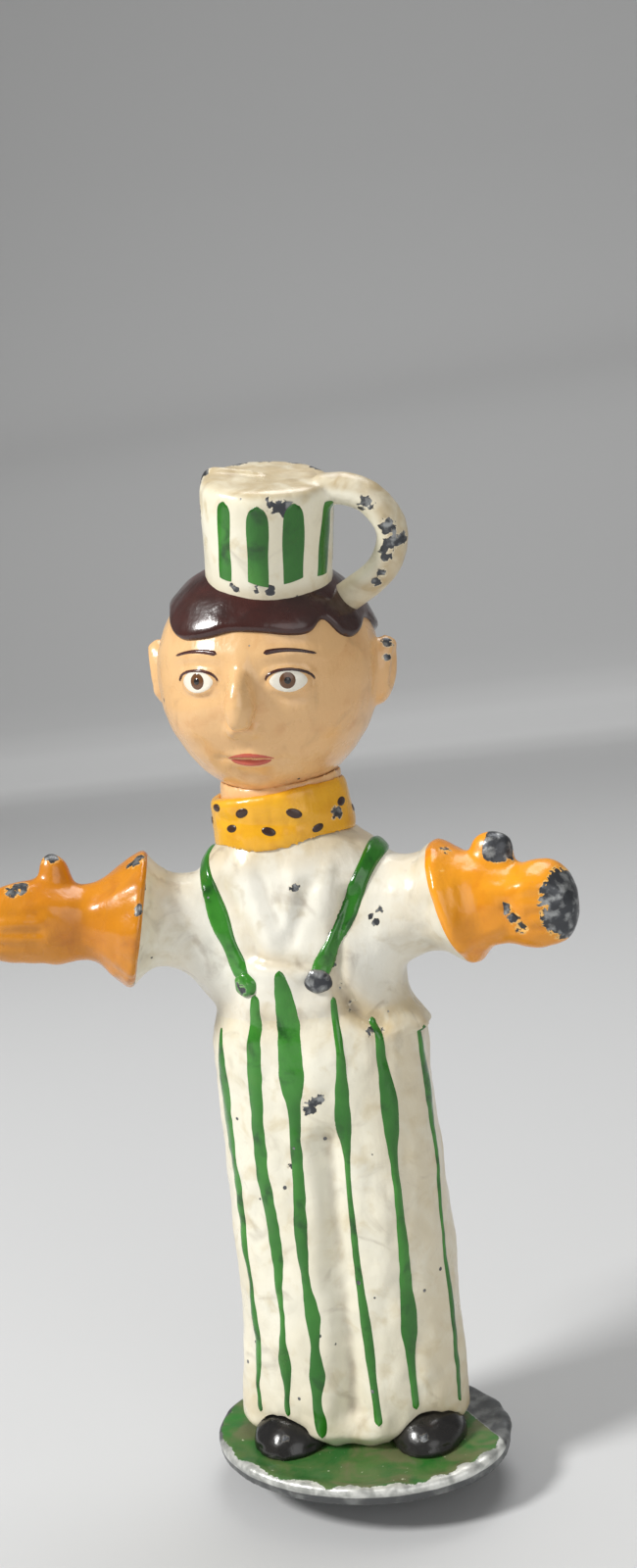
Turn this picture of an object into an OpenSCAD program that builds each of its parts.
// Painted cast-metal standing figure on an oval base, arms held out, in a striped loop-handled hat.
// Millimetres, +Z up, origin at the centre of the base underside.
// The figure faces -Y. Its own left side is +X, which is the side of the hat's handle.

/* [Base] */
// Long axis of the oval base
base_length = 17.9; // [17:0.1:20]
// Short axis of the oval base
base_width = 13.6; // [12.5:0.1:15]
// Thickness of the base at its rim
base_thickness = 0.9; // [0.7:0.05:1.2]
// Turn of the oval under the figure, its +X end coming forward
base_yaw = -11; // [-20:1:5]

/* [Legs] */
// Width of the trousers at the hem
hem_width = 13.5; // [12:0.1:15]
// Depth of the trousers at the hem, front to back
hem_depth = 7.4; // [6.5:0.1:9]
// Width of the trousers at the hips
hip_width = 12.7; // [11:0.1:14]
// Depth of the trousers at the hips
hip_depth = 8.3; // [7.5:0.1:9]
// Height of the top of the trousers
waist_z = 26.6; // [25.5:0.1:27.5]
// Height of the top edge of the bib
bib_top_z = 29.5; // [28.5:0.1:31]

/* [Body] */
// Width of the shirt across the chest
chest_width = 10.8; // [9.5:0.1:12]
// Depth of the shirt at the chest
chest_depth = 8.2; // [7:0.1:9]
// Height where the neckerchief starts
collar_z = 36.4; // [35.8:0.1:37]
// Outer width of the neckerchief
scarf_width = 8.1; // [7.6:0.1:8.8]

/* [Arms] */
// Forward sweep of the right arm
right_sweep = 21; // [0:1:30]
// Forward sweep of the left arm
left_sweep = 8; // [0:1:30]
// Rise of the right arm above level
right_rise = 6; // [0:1:12]
// Droop of the left arm below level
left_droop = 5; // [0:1:10]
// Diameter of the flared rim of each cuff
cuff_rim = 8.0; // [7:0.1:8.6]
// Length of the right glove from cuff rim to fingertips
right_hand_length = 9.2; // [8:0.1:10.5]
// Length of the left glove from cuff rim to fingertips
left_hand_length = 6.9; // [6.5:0.1:8.5]

/* [Head] */
// Width of the head without the ears
head_width = 12.7; // [12:0.1:13.4]
// Height of the head from chin to hidden crown
head_height = 13.6; // [12.8:0.1:14.2]
// Height of the middle of the head
head_z = 45.6; // [45.2:0.1:46]
// Sideways lean of the head and the hat, towards the figure's left
head_lean = 6; // [0:1:8]

/* [Hat] */
// Diameter of the hat body at its top
hat_width = 7.2; // [6.8:0.1:7.8]
// Height of the hat body
hat_height = 6.5; // [6:0.1:7]
// Forward tip of the hat about the middle of the head
hat_tip = 20; // [14:1:24]
// Lean of the hat towards the figure's left, beyond the head's own
hat_lean = 5.5; // [0:0.5:10]
// Width of the handle's band, seen from the front
handle_band = 1.75; // [1.5:0.05:2]
// Thickness of the handle, front to back
handle_depth = 1.9; // [1.6:0.05:2.4]

/* [Hidden] */

cream = "#e8e0c8";
green = "#2f8a28";
orange = "#e08a1e";
flesh = "#e3b585";
brown = "#4a2320";
black = "#161314";
bare = "#565b60";
scarf_yellow = "#e2a21f";

ring_points = 32;
handle_points = 18;
spline_steps = 2;

body_x = 0.3;
body_y = 0.5;
chest_z = 31;
right_shoulder_z = 32;
left_shoulder_z = 32.5;
arm_root = 3.4;
rim_reach = 6.0;
wrist_reach = 3.2;
relief = 0.28;
strap_width = 1.15;
right_button_x = -2.6;
left_button_x = 1.65;
button_z = 28.7;
button_radius = 0.85;
button_proud = 0.45;
scarf_thick = 0.45;
hair_thick = 0.3;
hair_line = 3.0;
hat_seat = 5.15;

// A loft's section is a row [z, centre x, centre y, half width, half depth].
// Its outline is a superellipse: 2 is an ellipse, more is squarer.
function power(v, e) = sign(v) * pow(abs(v), e);
function ring(s, square = 2) =
    [for (i = [0:ring_points - 1]) let (a = 360 * i / ring_points)
        [s[1] + s[3] * power(cos(a), 2 / square), s[2] + s[4] * power(sin(a), 2 / square), s[0]]];

// Catmull-Rom curve through a list of rows
function blend(a, b, c, d, t) =
    0.5 * (2 * b + (c - a) * t + (2 * a - 5 * b + 4 * c - d) * t * t + (3 * b - a - 3 * c + d) * t * t * t);
function spline(rows, steps = spline_steps) =
    let (last = len(rows) - 1)
    concat([for (i = [0:last - 1], k = [0:steps - 1])
        blend(rows[max(i - 1, 0)], rows[i], rows[i + 1], rows[min(i + 2, last)], k / steps)], [rows[last]]);

// The same sections, grown outwards by a thickness
function grown(rows, by) = [for (s = rows) [s[0], s[1], s[2], s[3] + by, s[4] + by]];

// Sections of an upright egg about the origin, narrower below by the taper
function egg(width, depth, height, taper = 0, steps = 14) =
    [for (i = [0:steps]) let (a = 180 * i / steps, wide = max(sin(a), 0.04) * (1 + taper * cos(a) * -1))
        [-cos(a) * height / 2, 0, 0, wide * width / 2, wide * depth / 2]];

module loft(rows, square = 2) {
    lower = [for (i = [0:ring_points - 1]) i];
    upper = [for (i = lower) i + ring_points];
    for (i = [0:len(rows) - 2])
        hull() polyhedron(concat(ring(rows[i], square), ring(rows[i + 1], square)), [lower, upper]);
}

// Sections of the dungarees, from the base up to the rounded top of the hips
function trouser_rows() = [
    [base_thickness, -0.3, body_y, hem_width / 2 - 0.55, hem_depth / 2 - 0.35],
    [base_thickness + 0.5, -0.3, body_y, hem_width / 2 - 0.05, hem_depth / 2],
    [base_thickness + 1.8, -0.25, body_y, hem_width / 2, hem_depth / 2 + 0.05],
    [7.5, 0.1, body_y, hem_width / 2 - 0.15, hem_depth / 2 + 0.1],
    [13, 0.3, body_y, hip_width / 2 + 0.15, hem_depth / 2 + 0.25],
    [19, body_x, body_y - 0.1, hip_width / 2, hip_depth / 2 - 0.1],
    [waist_z - 2.6, body_x, body_y - 0.1, hip_width / 2 + 0.05, hip_depth / 2],
    [waist_z - 0.9, body_x, body_y - 0.1, hip_width / 2 - 0.05, hip_depth / 2],
    [waist_z, body_x, body_y - 0.1, hip_width / 2 - 0.75, hip_depth / 2 - 0.35]
];

// Sections of the shirt, from the waist up to the collar
function shirt_rows() = [
    [waist_z, body_x, body_y - 0.1, hip_width / 2 - 0.75, hip_depth / 2 - 0.35],
    [28.6, body_x, body_y - 0.15, chest_width / 2 + 0.1, chest_depth / 2 - 0.05],
    [chest_z, 0.25, body_y - 0.1, chest_width / 2, chest_depth / 2],
    [33.2, 0.15, body_y, chest_width / 2 + 0.25, chest_depth / 2 - 0.15],
    [34.6, 0.1, body_y, chest_width / 2 + 0.3, chest_depth / 2 - 0.4],
    [35.6, 0, body_y, chest_width / 2 - 0.2, chest_depth / 2 - 0.65],
    [collar_z, -0.1, body_y, scarf_width / 2 + 0.05, chest_depth / 2 - 0.85],
    [collar_z + 0.6, -0.15, body_y, scarf_width / 2 - scarf_thick, chest_depth / 2 - 1.1]
];

module shirt_solid(by = 0) {
    loft(grown(spline(shirt_rows()), by), 2.2);
}

// Places its children on an arm: local +Z runs out along the arm, local +X is up.
module on_arm(side) {
    sweep = side < 0 ? right_sweep : left_sweep;
    lift = side < 0 ? right_rise : -left_droop;
    translate([side * arm_root, body_y, side < 0 ? right_shoulder_z : left_shoulder_z])
        mirror([side < 0 ? 1 : 0, 0, 0])
            rotate([0, 0, -sweep]) rotate([0, 90 - lift, 0]) rotate([0, 0, 180]) children();
}

// How much smaller in radius the left cuff is than the right one
function cuff_shrink(side) = side < 0 ? 0 : 0.5;

// Sections along an arm: [distance out, up, sideways, half height, half depth].
function sleeve_rows(side) = [
    [-0.6, side < 0 ? -2.2 : -1.9, 0, 4.2, 3.0],
    [1.0, side < 0 ? -1.7 : -1.6, 0, 4.25, 3.15],
    [2.3, side < 0 ? -0.9 : -1.0, 0, 3.55, 2.95],
    [3.6, side < 0 ? -0.25 : -0.3, 0, 2.9, 2.65],
    [4.7, 0, 0, 2.75, 2.6],
    [rim_reach - 0.6, 0, 0, 3.2, 3.0],
    [rim_reach, 0, 0, cuff_rim / 2 - 0.1 - cuff_shrink(side), cuff_rim / 2 - 0.2 - cuff_shrink(side)]
];

function cuff_rows(shrink) = [
    [rim_reach, 0, 0, cuff_rim / 2 - shrink, cuff_rim / 2 - 0.1 - shrink],
    [rim_reach + 0.35, 0, 0, cuff_rim / 2 - 0.02 - shrink, cuff_rim / 2 - 0.15 - shrink],
    [rim_reach + 1.4, 0, 0, 3.15 - shrink, 2.95 - shrink],
    [rim_reach + 2.4, 0, 0, 2.35, 2.2],
    [rim_reach + wrist_reach, 0, 0, 2.05, 1.85]
];

// The glove's rows run from the wrist to the rounded fingertips.
function glove_rows(long) = let (w = rim_reach + wrist_reach, tip = rim_reach + long) [
    [w, 0, 0, 2.05, 1.85],
    [w + 0.25 * (tip - w), 0.1, 0, 2.35, 1.95],
    [w + 0.55 * (tip - w), 0.1, 0, 2.45, 1.8],
    [w + 0.8 * (tip - w), 0, 0, 2.1, 1.5],
    [w + 0.94 * (tip - w), -0.05, 0, 1.35, 0.95],
    [tip, -0.1, 0, 0.5, 0.35]
];

module sleeve_solid(side, by = 0) {
    on_arm(side) loft(grown(spline(sleeve_rows(side)), by));
}

module cuff_solid(side) {
    on_arm(side) loft(spline(cuff_rows(cuff_shrink(side))));
}

module glove_solid(side) {
    on_arm(side) loft(spline(glove_rows(side < 0 ? right_hand_length : left_hand_length)));
}

module thumb_solid(side) {
    out = rim_reach + wrist_reach + (side < 0 ? 1.5 : -0.75);
    on_arm(side) translate([0, -0.2, out]) rotate([0, 90, 0]) rotate([0, 0, 90])
        loft(spline([[1.2, 0, 0, 1.1, 1.1], [2.6, 0, 0, 0.95, 1.0], [3.3, 0, 0.1, 0.85, 0.85],
                     [3.8, 0, 0.15, 0.55, 0.55], [4.0, 0, 0.15, 0.2, 0.2]], 2));
}

module shoe_solid(side) {
    x = side < 0 ? -3.8 : 4.3;
    translate([x, side < 0 ? -1.3 : -1.0, base_thickness]) intersection() {
        loft(egg(4.3, 5.4, 3.9));
        translate([-5, -5, 0]) cube([10, 10, 5]);
    }
}

module head_space() {
    translate([0.1, body_y - 0.2, head_z]) rotate([0, head_lean, 0]) children();
}

module head_solid(by = 0) {
    head_space() loft(grown(egg(head_width, head_width * 0.98, head_height, 0.07), by), 2.1);
}

module hat_space() {
    head_space() rotate([hat_tip, hat_lean, 0]) translate([0.1, 0, hat_seat]) children();
}

module hat_solid() {
    r = hat_width / 2;
    hat_space() loft([[-1.2, 0, 0, r - 0.2, r - 0.2], [0, 0, 0, r - 0.12, r - 0.12],
                      [0.5, 0, 0, r - 0.08, r - 0.08], [2.5, 0, 0, r - 0.05, r - 0.05],
                      [4.5, 0, 0, r, r], [hat_height - 0.6, 0, 0, r, r],
                      [hat_height - 0.25, 0, 0, r - 0.12, r - 0.12],
                      [hat_height - 0.05, 0, 0, r - 0.45, r - 0.45],
                      [hat_height, 0, 0, r - 0.9, r - 0.9]]);
}

// The slanted slab that one strap is cut from, right through the body
module strap_band(side) {
    foot_x = side < 0 ? right_button_x : left_button_x;
    top_x = side < 0 ? -5.4 : 6.3;
    hull() {
        translate([foot_x, 0, button_z]) cube([strap_width, 20, 0.1], center = true);
        translate([top_x, 0, collar_z + 1]) cube([strap_width, 20, 0.1], center = true);
    }
}

// A strap: the slab's share of a skin over the shirt and the sleeve, front and back
module strap_solid(side) {
    difference() {
        intersection() {
            union() {
                shirt_solid(relief);
                sleeve_solid(side, relief);
            }
            strap_band(side);
        }
        shirt_solid();
        sleeve_solid(side);
        button_post(side);
    }
}

// The post that a button's face is cut from, pointing forwards
module button_post(side) {
    translate([side < 0 ? right_button_x : left_button_x, -2, button_z])
        rotate([90, 0, 0]) cylinder(r = button_radius, h = 5, $fn = 24);
}

module button_solid(side) {
    difference() {
        intersection() {
            shirt_solid(relief + button_proud);
            button_post(side);
        }
        shirt_solid();
    }
}

// The space above a tilted plane through the head, which ends the hair: highest in front of the ears
module hair_space() {
    head_space() translate([0, 0, hair_line]) rotate([-5, 0, 0]) translate([-9, -9, 0]) cube([18, 18, 8]);
}

// ---- named pieces ----

module base_plate() {
    color(green) rotate([0, 0, base_yaw]) linear_extrude(base_thickness)
        polygon([for (a = [0:5:355]) [base_length / 2 * cos(a), base_width / 2 * sin(a)]]);
}

module shoe(side) {
    color(black) shoe_solid(side);
}

module trousers() {
    color(cream) difference() {
        loft(spline(trouser_rows()), 2.3);
        shoe_solid(-1);
        shoe_solid(1);
    }
}

module shirt_body() {
    color(cream) shirt_solid();
}

module bib() {
    color(cream) difference() {
        intersection() {
            shirt_solid(relief);
            translate([-3.3, -10, waist_z]) cube([5.7, 10, bib_top_z - waist_z]);
        }
        shirt_solid();
        for (side = [-1, 1]) {
            button_post(side);
            strap_band(side);
        }
    }
}

module sleeve(side) {
    color(cream) difference() {
        sleeve_solid(side);
        shirt_solid();
        loft(spline(trouser_rows()), 2.3);
    }
}

module cuff(side) {
    color(orange) difference() {
        cuff_solid(side);
        sleeve_solid(side);
    }
}

module glove(side) {
    color(orange) glove_solid(side);
}

module thumb(side) {
    color(orange) difference() {
        thumb_solid(side);
        glove_solid(side);
        cuff_solid(side);
    }
}

module strap(side) {
    color(green) strap_solid(side);
}

module button(side) {
    color(side < 0 ? green : bare) button_solid(side);
}

function neck_rows() = [
    [collar_z + 0.6, -0.15, body_y, scarf_width / 2 - scarf_thick, chest_depth / 2 - 1.1],
    [38.2, -0.15, body_y, scarf_width / 2 - scarf_thick, 3.1],
    [39.4, -0.1, body_y, scarf_width / 2 - scarf_thick - 0.05, 3.05],
    [41, 0, body_y, scarf_width / 2 - scarf_thick, 3.1]
];

module neck() {
    color(flesh) difference() {
        loft(spline(neck_rows()));
        head_solid();
    }
}

module neckerchief() {
    half = scarf_width / 2;
    color(scarf_yellow) difference() {
        translate([-0.15, body_y, collar_z]) rotate([5, -4, 0])
            loft(spline([[-0.35, 0, 0, half - 0.1, half - 0.75], [0, 0, 0, half + 0.08, half - 0.6],
                         [0.8, 0, 0, half + 0.1, half - 0.55], [2, 0, 0, half, half - 0.6],
                         [2.8, 0, 0, half - 0.1, half - 0.65], [3.05, 0, 0, half - 0.3, half - 0.85]], 2));
        shirt_solid();
        loft(spline(neck_rows()));
        head_solid();
    }
}

module ear_solid(side) {
    head_space() translate([side * (head_width / 2 + 0.1), 0.3, 0.3]) rotate([0, side * 8, 0])
        loft(egg(1.7, 2.1, 4.0));
}

module nose_solid() {
    head_space() translate([0, -head_width / 2 - 0.05, -0.9]) rotate([-14, 0, 0])
        loft(egg(1.7, 2.0, 3.0, -0.25, 10));
}

module hair_solid() {
    difference() {
        intersection() {
            head_solid(hair_thick);
            hair_space();
        }
        head_solid();
    }
}

module head() {
    color(flesh) head_solid();
}

module ear(side) {
    color(flesh) difference() {
        ear_solid(side);
        head_solid();
        hair_solid();
    }
}

module nose() {
    color(flesh) difference() {
        nose_solid();
        head_solid();
    }
}

module hair() {
    color(brown) difference() {
        hair_solid();
        hat_solid();
        handle_solid();
    }
}

module hat_body() {
    color(cream) difference() {
        hat_solid();
        head_solid();
    }
}

// Centreline of the handle in the hat's own upright plane: [x, z]
handle_path = [[2.8, 5.9], [4.2, 6.05], [5.5, 5.7], [6.45, 4.8], [6.9, 3.7], [6.65, 2.35], [6.0, 1.35],
               [5.1, 0.55], [4.2, -0.2], [3.5, -0.9]];

// The handle's outline across its path at point i: an ellipse, square to the path
function handle_ring(path, i) =
    let (before = path[max(i - 1, 0)], after = path[min(i + 1, len(path) - 1)],
         along = (after - before) / norm(after - before))
    [for (k = [0:handle_points - 1]) let (a = 360 * k / handle_points, out = handle_band / 2 * cos(a))
        [path[i][0] - along[1] * out, handle_depth / 2 * sin(a), path[i][1] + along[0] * out]];

module handle_solid() {
    path = spline(handle_path);
    n = handle_points;
    last = len(path) - 1;
    sides = [for (i = [0:last - 1], k = [0:n - 1]) let (a = i * n + k, b = i * n + (k + 1) % n)
        each [[a, b, a + n], [b, b + n, a + n]]];
    start = [for (k = [n - 1:-1:0]) k];
    finish = [for (k = [0:n - 1]) last * n + k];
    hat_space() polyhedron([for (i = [0:last]) each handle_ring(path, i)], concat(sides, [start, finish]));
}

module hat_handle() {
    color(cream) difference() {
        handle_solid();
        hat_solid();
        head_solid();
    }
}

base_plate();
shoe(-1);  // right_shoe
shoe(1);  // left_shoe
trousers();
bib();
shirt_body();
sleeve(-1);  // right_sleeve
sleeve(1);  // left_sleeve
cuff(-1);  // right_cuff
cuff(1);  // left_cuff
glove(-1);  // right_glove
glove(1);  // left_glove
thumb(-1);  // right_thumb
thumb(1);  // left_thumb
strap(-1);  // right_strap
strap(1);  // left_strap
button(-1);  // right_button
button(1);  // left_button
neck();
neckerchief();
head();
ear(-1);  // right_ear
ear(1);  // left_ear
nose();
hair();
hat_body();
hat_handle();
